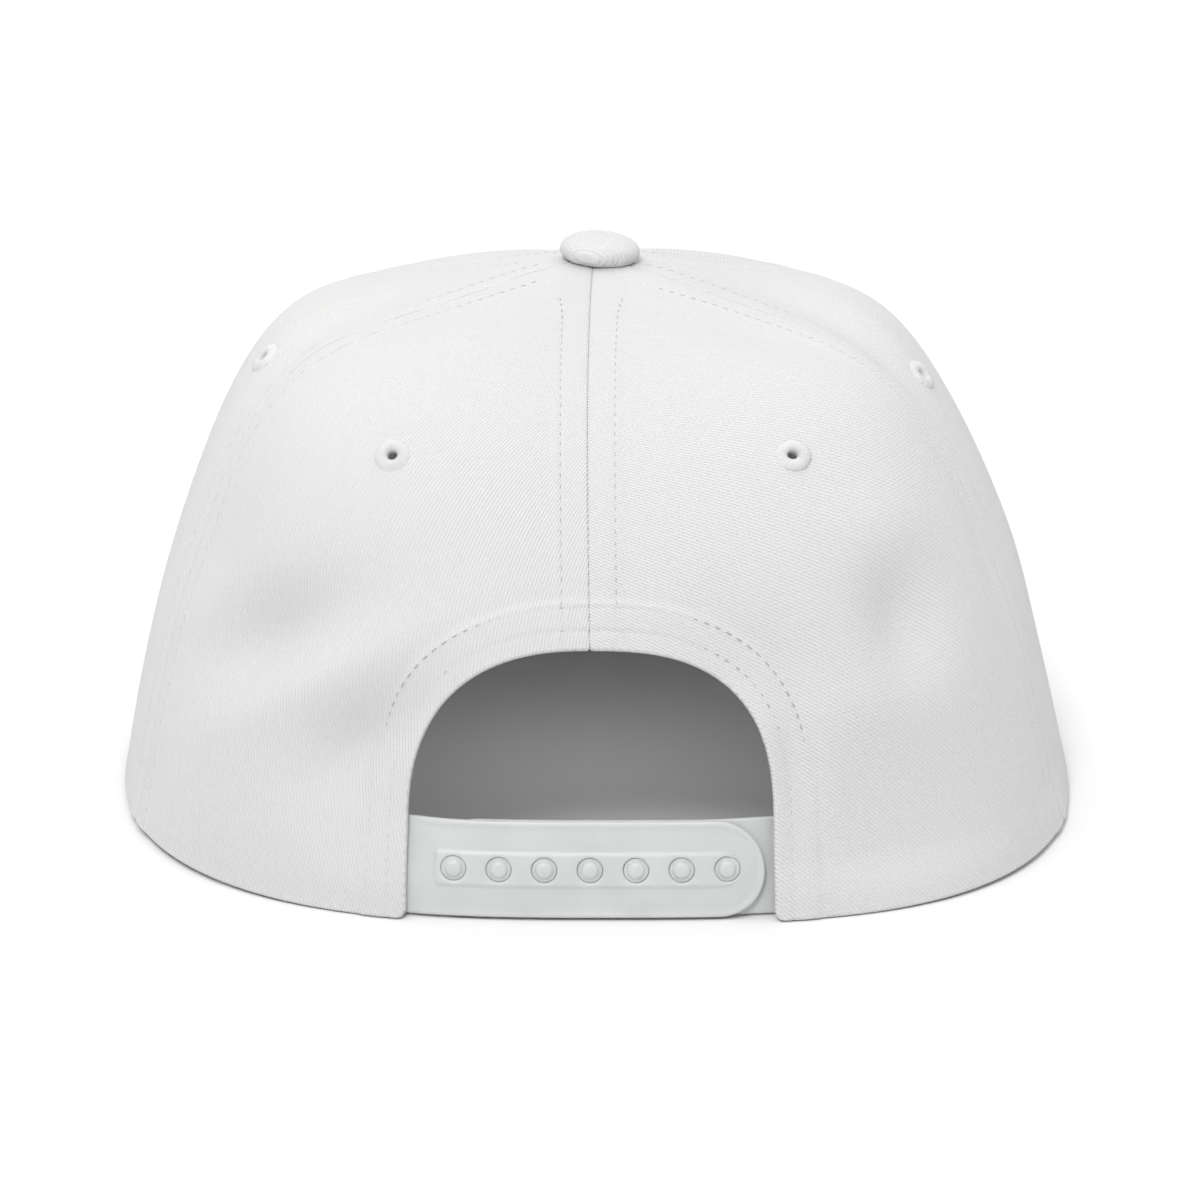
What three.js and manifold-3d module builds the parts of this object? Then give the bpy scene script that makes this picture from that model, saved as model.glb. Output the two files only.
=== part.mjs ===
// A six-panel cap with a flat bill and a snap strap. Millimetres, +Z up, the bill points to -Y.
import * as THREE from "three";
import { mergeVertices } from "three/addons/utils/BufferGeometryUtils.js";
import Module from "manifold-3d";

const wasm = await Module();
wasm.setup();

const GAP = 0.3;
const DEGREE = Math.PI / 180;

// The crown stands round the axis x = y = 0. Turns are degrees round it from the back centre (+Y)
// towards the wearer's left (+X).
const SHELL_HEIGHT = 92; // the rounded part of the height
const CONE_HEIGHT = 15; // the cone that adds to it towards the top
const APEX = SHELL_HEIGHT + CONE_HEIGHT;
const SIDEWAYS_SLUMP = 2.2; // how far the shoulder has slumped to the wearer's left
const CLOTH = 1.7;
const TOP_RING = 4.6; // the panels end at this distance from the axis, under the button

// reach is the distance of the rim from the axis, shoulder is how square the shoulder is and lean is
// the share by which the wall comes in on its way up.
const BACK = { reach: 99.5, shoulder: 3.6, lean: 0.06 };
const SIDE = { reach: 98.3, shoulder: 8.8, lean: 0.17 };
const FRONT = { reach: 92, shoulder: 4.6, lean: 0.15 };
// The powers of the plan's curve, where 2 is an ellipse and more is squarer.
const PLAN = { backLeft: 2.45, backRight: 2.7, front: 2.15 };

const BACK_SEAM = 64;
const FRONT_SEAM = 122;
const SEAM_PULL = 0.9; // a seam lies this much deeper than the middle of a panel
const SEAM_REACH = 11;
const PANELS = [
  { name: "back_panel_left", from: 0, to: BACK_SEAM },
  { name: "side_panel_left", from: BACK_SEAM, to: FRONT_SEAM },
  { name: "front_panel_left", from: FRONT_SEAM, to: 180 },
  { name: "front_panel_right", from: 180, to: 360 - FRONT_SEAM },
  { name: "side_panel_right", from: 360 - FRONT_SEAM, to: 360 - BACK_SEAM },
  { name: "back_panel_right", from: 360 - BACK_SEAM, to: 360 },
];
const PANEL_COLUMNS = 11;
const PANEL_ROWS = 19;

// Dents and puffs of the soft cloth. rise is measured up the cloth from the rim, slant is the long
// axis's angle from upright, towards the wearer's left, and a puff has a depth below nothing.
const DENTS = [
  { turn: 40, rise: 62, length: 25, width: 10, slant: 127, depth: 1.8 },
  { turn: 27, rise: 44, length: 19, width: 8, slant: 140, depth: 1.3 },
  { turn: 34, rise: 52, length: 20, width: 7, slant: 132, depth: -0.8 },
  { turn: -38, rise: 61, length: 17, width: 10, slant: 5, depth: 1.6 },
  { turn: -29, rise: 42, length: 12, width: 10, slant: 0, depth: -0.9 },
  { turn: -24, rise: 36, length: 14, width: 7, slant: -20, depth: 0.8 },
  { turn: -72, rise: 108, length: 22, width: 7, slant: -20, depth: 1.5 },
  { turn: 74, rise: 108, length: 22, width: 7, slant: 20, depth: 1.1 },
  { turn: -47, rise: 128, length: 16, width: 6, slant: 30, depth: 0.7 },
  { turn: 92, rise: 68, length: 24, width: 60, slant: 0, depth: 0.8 },
  { turn: -92, rise: 84, length: 16, width: 60, slant: 0, depth: 0.6 },
  { turn: -92, rise: 46, length: 14, width: 60, slant: 0, depth: -0.6 },
  { turn: 128, rise: 122, length: 26, width: 22, slant: 0, depth: 1 },
];

// The arch over the strap, a flat-sided curve in the X-Z plane.
const ARCH = { middle: 0.8, halfWidth: 36.3, sides: 18, top: 52, power: 2.3, steps: 20 };

const BILL = { thickness: 3.6, middle: -30, halfWidth: 94, tip: -164, power: 2.6, bevel: 0.9 };
const BILL_STEPS = 44; // round its outer edge
const BILL_FOOT_STEPS = 24; // along the crown
const BILL_TUCK = 5.5; // how far the bill runs in under the front rim
const BILL_CORNER = 108; // the turn at which the bill starts
const LIFT_START = 95; // the rim starts to rise onto the bill at this turn
const FRONT_LIFT = BILL.thickness + GAP;

// The button's edge stands seat over the cloth, and edge is the height of its straight side.
const BUTTON = { radius: 8.2, height: 5, seat: 0.5, shank: 3.2, edge: 0.8, lip: 0.3, roundness: 0.9 };
const BUTTON_STEPS = 8;
const BUTTON_SIDES = 24;
const WASHER = { radius: 6.4, thickness: 0.8 };

const EYELET = { radius: 3.5, hole: 1.05, sleeve: 1.7, thickness: 0.75, bevel: 0.3 };
const EYELET_SIDES = 14;
// seat is the flange's distance from the cloth, more where the shoulder curves under it.
const EYELETS = [
  { name: "eyelet_back_left", panel: "back_panel_left", turn: 31, height: 84.3, seat: 0.4 },
  { name: "eyelet_back_right", panel: "back_panel_right", turn: -32, height: 84.6, seat: 0.4 },
  { name: "eyelet_side_left", panel: "side_panel_left", turn: 79, height: 90, seat: 0.9 },
  { name: "eyelet_side_right", panel: "side_panel_right", turn: -77, height: 87.5, seat: 0.9 },
  { name: "eyelet_front_left", panel: "front_panel_left", turn: 150, height: 86, seat: 0.4 },
  { name: "eyelet_front_right", panel: "front_panel_right", turn: -150, height: 86, seat: 0.4 },
];

// Both halves of the strap follow the inside of the back rim. Depth is measured in from the face of
// the crown's cloth, and x runs along the strap.
const STRAP = { bottom: 1, top: 20.5, thickness: 1.2, columns: 20 };
const OUTER_DEPTH = CLOTH + GAP;
const INNER_DEPTH = OUTER_DEPTH + STRAP.thickness + GAP;
const OUTER_STRAP = { from: 50, to: -32.6 };
const INNER_STRAP = { from: 33, to: -50 };
// The half with the pegs steps out from under the other one here, behind the cloth.
const STEP = { from: -34, to: -43, depth: OUTER_DEPTH + 0.3 };
const BAND = { from: 31.5, to: -28.2, height: 6.8, thickness: 0.5 };
const HOLES = { count: 7, first: 28, pitch: 8.95, radius: 2.5, pegRadius: 1.6, pegProud: 0.2 };
const ROUND_SIDES = 12;
const END_SIDES = 32; // the strap's round end
const THROUGH = 5; // a hole's cutter reaches this far to each side of the face

const WHITE_TWILL = 0xf1f1f0;
const TWILL_ROUGHNESS = 0.92;
const MILKY_PLASTIC = 0xe2e3e3;
const PLASTIC_ROUGHNESS = 0.38;

const twill = () => new THREE.MeshStandardMaterial({
  color: WHITE_TWILL,
  roughness: TWILL_ROUGHNESS,
  metalness: 0,
});
const plastic = () => new THREE.MeshStandardMaterial({
  color: MILKY_PLASTIC,
  roughness: PLASTIC_ROUGHNESS,
  metalness: 0,
});

const blend = (a, b, share) => a + (b - a) * share;

function smoothStep(from, to, value) {
  const share = Math.min(1, Math.max(0, (value - from) / (to - from)));
  return share * share * (3 - 2 * share);
}

// Degrees from the back centre, from -180 to 180.
const signedTurn = (turn) => ((((turn + 180) % 360) + 360) % 360) - 180;

// The form of the crown in the direction of a turn.
function formAt(turn) {
  const signed = signedTurn(turn);
  const end = Math.abs(signed) < 90 ? BACK : FRONT;
  const rear = signed > 0 ? PLAN.backLeft : PLAN.backRight;
  const power = end === BACK ? rear : PLAN.front;
  const along = Math.abs(Math.cos(turn * DEGREE));
  const across = Math.abs(Math.sin(turn * DEGREE));
  const share = along * along;
  return {
    reach: ((along / end.reach) ** power + (across / SIDE.reach) ** power) ** (-1 / power),
    shoulder: blend(SIDE.shoulder, end.shoulder, share),
    lean: blend(SIDE.lean, end.lean, share),
  };
}

// A point of the smooth crown: angle 0 is the rim's level and 90 degrees is the apex.
function formPoint(turn, form, angle) {
  const rise = Math.sin(angle);
  const out = Math.max(0, Math.cos(angle)) ** (2 / form.shoulder) * (1 - form.lean * rise);
  const height = SHELL_HEIGHT * rise + CONE_HEIGHT * (1 - out);
  const slump = SIDEWAYS_SLUMP * (height / SHELL_HEIGHT) * Math.sqrt(out);
  return new THREE.Vector3(
    form.reach * out * Math.sin(turn * DEGREE) + slump,
    form.reach * out * Math.cos(turn * DEGREE),
    height,
  );
}

const profiles = new Map();
const PROFILE_STEPS = 600;

// The line up the cloth at a turn: its points, and how far each lies from z = 0 along it.
function profileAt(turn) {
  const key = signedTurn(turn).toFixed(5);
  if (!profiles.has(key)) {
    const form = formAt(turn);
    const points = [];
    const lengths = [0];
    for (let i = 0; i <= PROFILE_STEPS; i++) {
      const share = i / PROFILE_STEPS;
      // The steps are finer towards the apex, where the angle hardly changes.
      points.push(formPoint(turn, form, (1 - (1 - share) ** 3) * 90 * DEGREE));
      if (i > 0) lengths.push(lengths[i - 1] + points[i].distanceTo(points[i - 1]));
    }
    profiles.set(key, { points, lengths });
  }
  return profiles.get(key);
}

// The smooth crown's point at a turn and a distance up the cloth.
function smoothPoint(turn, rise) {
  const { points, lengths } = profileAt(turn);
  let i = 1;
  while (i < PROFILE_STEPS && lengths[i] < rise) i++;
  const share = (rise - lengths[i - 1]) / (lengths[i] - lengths[i - 1]);
  return points[i - 1].clone().lerp(points[i], share);
}

function outwardNormal(turn, rise) {
  const step = 0.5;
  const ahead = smoothPoint(turn + step, rise);
  const behind = smoothPoint(turn - step, rise);
  const above = smoothPoint(turn, rise + step);
  const below = smoothPoint(turn, Math.max(0, rise - step));
  return ahead.sub(behind).cross(above.sub(below)).normalize().negate();
}

// How far the seams and dents move the cloth along its normal.
function relief(turn, rise, point) {
  const radius = Math.hypot(point.x, point.y);
  const seams = [0, BACK_SEAM, FRONT_SEAM, 180, -FRONT_SEAM, -BACK_SEAM];
  const away = Math.min(...seams.map((seam) => Math.abs(signedTurn(turn - seam)))) * DEGREE * radius;
  const fade = smoothStep(10, 40, radius);
  let moved = -SEAM_PULL * fade * Math.exp(-((away / SEAM_REACH) ** 2));
  for (const dent of DENTS) {
    const u = signedTurn(turn - dent.turn) * DEGREE * radius;
    const v = rise - dent.rise;
    const along = u * Math.sin(dent.slant * DEGREE) + v * Math.cos(dent.slant * DEGREE);
    const across = u * Math.cos(dent.slant * DEGREE) - v * Math.sin(dent.slant * DEGREE);
    moved -= dent.depth * Math.exp(-((along / dent.length) ** 2) - (across / dent.width) ** 2);
  }
  return moved * smoothStep(0, 12, rise);
}

// A point of the cloth's face, or of a layer under it at a depth.
function clothPoint(turn, rise, depth = 0) {
  const point = smoothPoint(turn, rise);
  const normal = outwardNormal(turn, rise);
  const level = rise < 1 ? new THREE.Vector3(normal.x, normal.y, 0).normalize() : normal;
  return point.addScaledVector(level, relief(turn, rise, point) - depth);
}

// The rim rises onto the bill at the front.
const rimLift = (turn) =>
  FRONT_LIFT * smoothStep(LIFT_START, BILL_CORNER, Math.abs(signedTurn(turn)));

// The distance up the cloth at which it reaches a height or comes in to the top ring.
function riseWhere(turn, passed) {
  const { points, lengths } = profileAt(turn);
  let i = 1;
  while (i < PROFILE_STEPS && !passed(points[i])) i++;
  return lengths[i];
}

const riseAtHeight = (turn, height) => riseWhere(turn, (point) => point.z >= height);
const riseAtRing = (turn) => riseWhere(turn, (point) => Math.hypot(point.x, point.y) <= TOP_RING);

// A closed geometry from a grid of points on two faces, columns by rows, joined round their edges.
function slabGeometry(columns, rows, facePoint) {
  const positions = [];
  const index = [];
  const at = (layer, c, r) => (layer * (columns + 1) + c) * (rows + 1) + r;
  for (const layer of [0, 1]) {
    for (let c = 0; c <= columns; c++) {
      for (let r = 0; r <= rows; r++) positions.push(...facePoint(layer, c, r).toArray());
    }
  }
  const quad = (a, b, c, d) => index.push(a, b, c, a, c, d);
  for (let c = 0; c < columns; c++) {
    for (let r = 0; r < rows; r++) {
      quad(at(0, c, r), at(0, c, r + 1), at(0, c + 1, r + 1), at(0, c + 1, r));
      quad(at(1, c, r), at(1, c + 1, r), at(1, c + 1, r + 1), at(1, c, r + 1));
    }
    quad(at(0, c, 0), at(0, c + 1, 0), at(1, c + 1, 0), at(1, c, 0));
    quad(at(0, c, rows), at(1, c, rows), at(1, c + 1, rows), at(0, c + 1, rows));
  }
  for (let r = 0; r < rows; r++) {
    quad(at(0, 0, r), at(1, 0, r), at(1, 0, r + 1), at(0, 0, r + 1));
    quad(at(0, columns, r), at(0, columns, r + 1), at(1, columns, r + 1), at(1, columns, r));
  }
  const geometry = new THREE.BufferGeometry();
  geometry.setAttribute("position", new THREE.Float32BufferAttribute(positions, 3));
  geometry.setIndex(index);
  return geometry;
}

function toSolid(geometry) {
  const bare = geometry.clone();
  bare.deleteAttribute("normal");
  bare.deleteAttribute("uv");
  const merged = mergeVertices(bare, 1e-4);
  return new wasm.Manifold(new wasm.Mesh({
    numProp: 3,
    vertProperties: new Float32Array(merged.attributes.position.array),
    triVerts: new Uint32Array(merged.index.array),
  }));
}

function toGeometry(solid) {
  const { vertProperties, triVerts } = solid.getMesh();
  const geometry = new THREE.BufferGeometry();
  geometry.setAttribute("position", new THREE.BufferAttribute(new Float32Array(vertProperties), 3));
  geometry.setIndex(new THREE.BufferAttribute(new Uint32Array(triVerts), 1));
  geometry.computeVertexNormals();
  return geometry;
}

// A cylinder through the cloth along its normal, to cut a round hole or to stand as a peg.
function rodThrough(point, normal, radius, from, to) {
  const rod = new THREE.CylinderGeometry(radius, radius, to - from, ROUND_SIDES);
  rod.translate(0, (from + to) / 2, 0);
  const turn = new THREE.Quaternion().setFromUnitVectors(new THREE.Vector3(0, 1, 0), normal);
  rod.applyQuaternion(turn);
  rod.translate(point.x, point.y, point.z);
  return toSolid(rod);
}

function archSolid() {
  const outline = new THREE.Shape();
  const right = ARCH.middle + ARCH.halfWidth;
  const left = ARCH.middle - ARCH.halfWidth;
  outline.moveTo(left, -5);
  outline.lineTo(right, -5);
  for (let i = 0; i <= ARCH.steps; i++) {
    const angle = (i / ARCH.steps) * Math.PI;
    const across = Math.sign(Math.cos(angle)) * Math.abs(Math.cos(angle)) ** (2 / ARCH.power);
    const up = Math.abs(Math.sin(angle)) ** (2 / ARCH.power);
    outline.lineTo(
      ARCH.middle + ARCH.halfWidth * across,
      blend(ARCH.sides, ARCH.top, up),
    );
  }
  const depth = BACK.reach - 10;
  const arch = new THREE.ExtrudeGeometry(outline, { depth, bevelEnabled: false });
  arch.rotateX(90 * DEGREE);
  arch.translate(0, BACK.reach + depth / 2, 0);
  return toSolid(arch);
}

function eyeletPlace({ turn, height }) {
  const rise = riseAtHeight(turn, height);
  return { point: clothPoint(turn, rise), normal: outwardNormal(turn, rise) };
}

function makePanel({ name, from, to }) {
  const facePoint = (layer, c, r) => {
    const middle = blend(from, to, c / PANEL_COLUMNS);
    const start = riseAtHeight(middle, Math.max(rimLift(middle), 1e-6));
    const low = rimLift(middle) > 0 ? start : 0;
    const rise = blend(low, riseAtRing(middle), r / PANEL_ROWS);
    const radius = Math.hypot(...smoothPoint(middle, rise).toArray().slice(0, 2));
    const margin = GAP / 2 / radius / DEGREE;
    const turn = blend(from + margin, to - margin, c / PANEL_COLUMNS);
    const point = clothPoint(turn, rise, layer * CLOTH);
    if (r === 0) point.z = rimLift(middle);
    return point;
  };
  let solid = toSolid(slabGeometry(PANEL_COLUMNS, PANEL_ROWS, facePoint));
  if (name.startsWith("back")) solid = solid.subtract(archSolid());
  for (const eyelet of EYELETS.filter(({ panel }) => panel === name)) {
    const { point, normal } = eyeletPlace(eyelet);
    solid = solid.subtract(rodThrough(point, normal, EYELET.sleeve + GAP, -THROUGH, THROUGH));
  }
  const mesh = new THREE.Mesh(toGeometry(solid), twill());
  mesh.name = name;
  return mesh;
}

// An embroidered ring: a sleeve through the cloth with a rounded flange on each face of it.
function makeEyelet(eyelet) {
  const { radius, hole, sleeve, thickness, bevel } = EYELET;
  const face = eyelet.seat;
  const back = -CLOTH - eyelet.seat;
  const profile = [
    [hole, face + thickness - bevel],
    [hole, back - thickness + bevel],
    [hole + bevel, back - thickness],
    [radius - bevel, back - thickness],
    [radius, back],
    [sleeve, back],
    [sleeve, face],
    [radius, face],
    [radius - bevel, face + thickness - bevel],
    [(radius + hole) / 2, face + thickness],
    [hole, face + thickness - bevel],
  ].map(([x, y]) => new THREE.Vector2(x, y));
  const mesh = new THREE.Mesh(new THREE.LatheGeometry(profile, EYELET_SIDES), twill());
  const { point, normal } = eyeletPlace(eyelet);
  mesh.name = eyelet.name;
  mesh.position.copy(point);
  mesh.quaternion.setFromUnitVectors(new THREE.Vector3(0, 1, 0), normal);
  return mesh;
}

// The covered button, with its shank through the top ring and a washer under the cloth.
function makeButton() {
  const { radius, height, seat, shank, edge, lip, roundness } = BUTTON;
  const slope = CONE_HEIGHT / SIDE.reach;
  const under = (r) => seat - slope * r;
  const washerTop = -slope * WASHER.radius - CLOTH - 2 * GAP;
  const profile = [[0, height]];
  for (let i = 1; i <= BUTTON_STEPS; i++) {
    const angle = (i / BUTTON_STEPS) * 90 * DEGREE;
    const low = under(radius) + edge;
    const up = Math.max(Math.cos(angle), 0) ** roundness;
    profile.push([radius * Math.sin(angle) ** roundness, blend(low, height, up)]);
  }
  profile.push(
    [radius - lip, under(radius)],
    [shank, under(shank)],
    [shank, washerTop],
    [WASHER.radius, washerTop],
    [WASHER.radius, washerTop - WASHER.thickness],
    [0, washerTop - WASHER.thickness],
  );
  const points = profile.reverse().map(([x, y]) => new THREE.Vector2(Math.max(x, 0), y));
  const mesh = new THREE.Mesh(new THREE.LatheGeometry(points, BUTTON_SIDES), twill());
  mesh.name = "button";
  mesh.rotation.set(90 * DEGREE, 0, 0);
  mesh.position.set(0, 0, APEX);
  return mesh;
}

function makeBill() {
  const { thickness, middle, halfWidth, tip, power, bevel } = BILL;
  const points = [];
  for (let i = 0; i <= BILL_STEPS; i++) {
    const angle = (i / BILL_STEPS) * Math.PI;
    const across = Math.sign(Math.cos(angle)) * Math.abs(Math.cos(angle)) ** (2 / power);
    const ahead = Math.abs(Math.sin(angle)) ** (2 / power);
    points.push(new THREE.Vector2(
      (halfWidth - bevel) * across,
      middle + (tip + bevel - middle) * ahead,
    ));
  }
  for (let i = 0; i <= BILL_FOOT_STEPS; i++) {
    const turn = blend(-BILL_CORNER, BILL_CORNER - 360, i / BILL_FOOT_STEPS);
    const rim = clothPoint(turn, 0, BILL_TUCK - bevel);
    points.push(new THREE.Vector2(rim.x, rim.y));
  }
  const board = new THREE.ExtrudeGeometry(new THREE.Shape(points), {
    depth: thickness - 2 * bevel,
    bevelThickness: bevel,
    bevelSize: bevel,
    bevelSegments: 2,
  });
  const mesh = new THREE.Mesh(board, twill());
  mesh.name = "bill";
  mesh.position.z = bevel;
  return mesh;
}

// The turn round the axis at which the back rim lies at an x, found by halving.
const WIDEST_TURN = 80;
const HALVINGS = 40;

function turnAtX(x) {
  let low = -WIDEST_TURN;
  let high = WIDEST_TURN;
  for (let i = 0; i < HALVINGS; i++) {
    const middle = (low + high) / 2;
    if (smoothPoint(middle, 0).x < x) low = middle;
    else high = middle;
  }
  return (low + high) / 2;
}

function strapPoint(x, height, depth) {
  const turn = turnAtX(x);
  return smoothPoint(turn, height).addScaledVector(outwardNormal(turn, height), -depth);
}

// A bent bar from x = from to x = to, between two heights, with depth as a function of x.
function strapBar(from, to, bottom, top, depth, thickness) {
  return toSolid(slabGeometry(STRAP.columns, 1, (layer, c, r) => {
    const x = blend(to, from, c / STRAP.columns);
    return strapPoint(x, blend(bottom, top, r), depth(x) + layer * thickness);
  }));
}

const holeXs = Array.from({ length: HOLES.count }, (_, i) => HOLES.first - i * HOLES.pitch);
const holeHeight = (STRAP.bottom + STRAP.top) / 2;

// What lies outside a round end: a block past the end's centre, less the round itself.
function endCutter(end, towards) {
  const radius = (STRAP.top - STRAP.bottom) / 2;
  const margin = 3;
  const centre = end - towards * radius;
  const place = strapPoint(centre, holeHeight, 0);
  const normal = outwardNormal(turnAtX(centre), holeHeight);
  const round = new THREE.CylinderGeometry(radius, radius, 6 * THROUGH, END_SIDES);
  const block = new THREE.BoxGeometry(radius * 2, 5 * THROUGH, (radius + margin) * 2);
  block.translate(radius * towards, 0, 0);
  const turn = new THREE.Quaternion().setFromUnitVectors(new THREE.Vector3(0, 1, 0), normal);
  for (const geometry of [round, block]) {
    geometry.applyQuaternion(turn);
    geometry.translate(place.x, place.y, place.z);
  }
  return toSolid(block).subtract(toSolid(round));
}

function makeOuterStrap() {
  const { bottom, top, thickness } = STRAP;
  const { from, to } = OUTER_STRAP;
  let solid = strapBar(from, to, bottom, top, () => OUTER_DEPTH, thickness);
  solid = solid.subtract(endCutter(to, -1));
  const bandLow = holeHeight - BAND.height / 2;
  const bandDepth = OUTER_DEPTH - BAND.thickness;
  const bandThick = BAND.thickness + thickness / 2;
  solid = solid.add(
    strapBar(BAND.from, BAND.to, bandLow, bandLow + BAND.height, () => bandDepth, bandThick),
  );
  for (const x of holeXs) {
    const normal = outwardNormal(turnAtX(x), holeHeight);
    const hole = rodThrough(strapPoint(x, holeHeight, 0), normal, HOLES.radius, -THROUGH, THROUGH);
    solid = solid.subtract(hole);
  }
  const mesh = new THREE.Mesh(toGeometry(solid), plastic());
  mesh.name = "snap_strap_outer";
  return mesh;
}

function makeInnerStrap() {
  const { bottom, top, thickness } = STRAP;
  const { from, to } = INNER_STRAP;
  const depth = (x) => blend(INNER_DEPTH, STEP.depth, smoothStep(-STEP.from, -STEP.to, -x));
  let solid = strapBar(from, to, bottom, top, depth, thickness);
  const pegTop = -(OUTER_DEPTH - BAND.thickness) + HOLES.pegProud;
  for (const x of holeXs) {
    const normal = outwardNormal(turnAtX(x), holeHeight);
    const root = -INNER_DEPTH - thickness / 2;
    solid = solid.add(
      rodThrough(strapPoint(x, holeHeight, 0), normal, HOLES.pegRadius, root, pegTop),
    );
  }
  const mesh = new THREE.Mesh(toGeometry(solid), plastic());
  mesh.name = "snap_strap_inner";
  return mesh;
}

const crown = new THREE.Group();
crown.add(...PANELS.map(makePanel));
crown.add(...EYELETS.map(makeEyelet));
crown.add(makeButton());

const strap = new THREE.Group();
strap.add(makeOuterStrap(), makeInnerStrap());

const cap = new THREE.Group();
cap.add(crown, makeBill(), strap);

// The cap stands on z = 0, and the middle of its footprint is the origin.
const footprint = new THREE.Box3().setFromObject(cap, true);
const middle = footprint.getCenter(new THREE.Vector3());
cap.position.set(-middle.x, -middle.y, 0);

const group = new THREE.Group();
group.add(cap);

export default group;
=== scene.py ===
import math

import bpy
import numpy as np
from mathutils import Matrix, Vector
from mathutils.geometry import delaunay_2d_cdt


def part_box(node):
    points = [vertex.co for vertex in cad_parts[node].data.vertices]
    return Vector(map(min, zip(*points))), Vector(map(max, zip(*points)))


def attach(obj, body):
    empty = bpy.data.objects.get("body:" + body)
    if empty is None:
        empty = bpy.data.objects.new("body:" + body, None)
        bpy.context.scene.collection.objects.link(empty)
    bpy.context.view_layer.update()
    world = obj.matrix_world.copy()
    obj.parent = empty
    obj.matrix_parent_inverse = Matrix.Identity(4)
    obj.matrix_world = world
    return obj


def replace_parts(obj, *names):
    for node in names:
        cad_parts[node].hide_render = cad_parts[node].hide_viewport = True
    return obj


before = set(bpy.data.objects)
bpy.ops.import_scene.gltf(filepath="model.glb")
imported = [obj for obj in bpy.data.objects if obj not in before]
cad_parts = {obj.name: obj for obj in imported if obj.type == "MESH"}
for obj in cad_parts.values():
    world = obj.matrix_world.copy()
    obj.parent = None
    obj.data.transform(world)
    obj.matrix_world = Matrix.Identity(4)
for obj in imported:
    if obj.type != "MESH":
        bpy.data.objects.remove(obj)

# The looks of a white six-panel cap with a flat bill, seen from behind. The cloth's form is worked
# out in millimetres from the same sizes as the solids, round the crown's own axis, and each mesh is
# scaled to metres and set round that axis in the frame.
for startup in ("Cube", "Light", "Camera"):
    if startup in bpy.data.objects:
        bpy.data.objects.remove(bpy.data.objects[startup])
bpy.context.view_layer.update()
MM = 0.001
DEGREE = math.pi / 180
BUTTON_LOW, BUTTON_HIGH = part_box("button")
AXIS = np.array([(BUTTON_LOW.x + BUTTON_HIGH.x) / 2, (BUTTON_LOW.y + BUTTON_HIGH.y) / 2, 0.0])

# The crown's form, in millimetres and degrees: that of the solids, with fuller back corners, deeper
# folds, a squarer arch, a slightly lower strap and higher cloth round the button.
SHELL_HEIGHT = 92.0
CONE_HEIGHT = 15.0
APEX = SHELL_HEIGHT + CONE_HEIGHT
SLUMP = 2.2
CLOTH = 1.7
TOP_RING = 4.6
BACK = {"reach": 99.5, "shoulder": 3.6, "lean": 0.06}
SIDE = {"reach": 98.3, "shoulder": 8.8, "lean": 0.17}
FRONT = {"reach": 92.0, "shoulder": 4.6, "lean": 0.15}
PLAN_BACK_LEFT, PLAN_BACK_RIGHT, PLAN_FRONT = 2.66, 3.0, 2.15
BACK_SEAM, FRONT_SEAM = 64.0, 122.0
SEAMS = (0.0, BACK_SEAM, FRONT_SEAM, 180.0, -FRONT_SEAM, -BACK_SEAM)
SEAM_PULL, SEAM_REACH = 0.9, 11.0
SEAM_FADES_FROM, SEAM_FADES_TO = 40, 10
TOP_PUFF, TOP_PUFF_REACH = 1.1, 20.0
RIM_HOLDS_TO = 12
DENTS = (
    # turn, rise, length, width, slant of the long axis towards +X, depth
    (42.5, 51, 20, 9, 120, 5.8),
    (33, 45, 22, 5.5, 122, -1.3),
    (26.5, 35.5, 15, 7.5, 126, 4.6),
    (26, 23, 14, 12, 100, 3.0),
    (55, 63, 14, 12, 100, 1.3),
    (-40, 56.5, 12, 9.5, 0, 4.8),
    (-41, 74, 9, 10, 0, -1.2),
    (-31, 40, 16, 6, 90, -0.5),
    (-23.5, 31, 14, 4, 0, 2.0),
    (-34, 20, 26, 21, 90, 3.8),
    (-19, 49, 18, 14, 90, 3.0),
    (-61, 60, 20, 6, 0, 1.3),
    (94, 108, 26, 13, 90, -1.2),
    (-92, 110, 24, 13, 90, -0.8),
    (-72, 108, 22, 8, -20, 2.6),
    (74, 108, 24, 8, 20, 2.4),
    (-47, 128, 16, 6, 30, 1.2),
    (92, 68, 24, 60, 0, 0.8),
    (-92, 84, 16, 60, 0, 0.6),
    (-92, 46, 14, 60, 0, -0.6),
    (128, 122, 26, 22, 0, 0.5),
)
ARCH = {"middle": 0.8, "sides": 18.0, "top": 52.0}
ARCH_HALVES = {1: {"width": 36.3, "power": 2.45}, -1: {"width": 35.7, "power": 2.7}}
BILL = {"thickness": 3.6, "middle": -30.0, "half_width": 94.0, "tip": -164.0, "power": 2.6}
BILL_TUCK, BILL_CORNER, LIFT_START = 5.5, 108.0, 99.0
FRONT_LIFT = BILL["thickness"] + 0.1
SIDE_LIFT, SIDE_LIFT_FROM, SIDE_LIFT_TO = 1.0, 25, 60
LOWEST_CLOTH = 0.02
BACK_RADIUS = 95.0

PANELS = (
    # name, from, to, the grain's slant from upright, its bend per mm, the height where that is true
    ("back_panel_left", 0.0, BACK_SEAM, 0.0, -0.0075, 60.0),
    ("side_panel_left", BACK_SEAM, FRONT_SEAM, 24.0, 0.0, 0.0),
    ("front_panel_left", FRONT_SEAM, 180.0, 20.0, 0.0, 0.0),
    ("front_panel_right", 180.0, 360.0 - FRONT_SEAM, 28.0, 0.0, 0.0),
    ("side_panel_right", 360.0 - FRONT_SEAM, 360.0 - BACK_SEAM, 35.0, 0.0, 0.0),
    ("back_panel_right", 360.0 - BACK_SEAM, 360.0, 42.0, 0.0046, 0.0),
)
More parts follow.
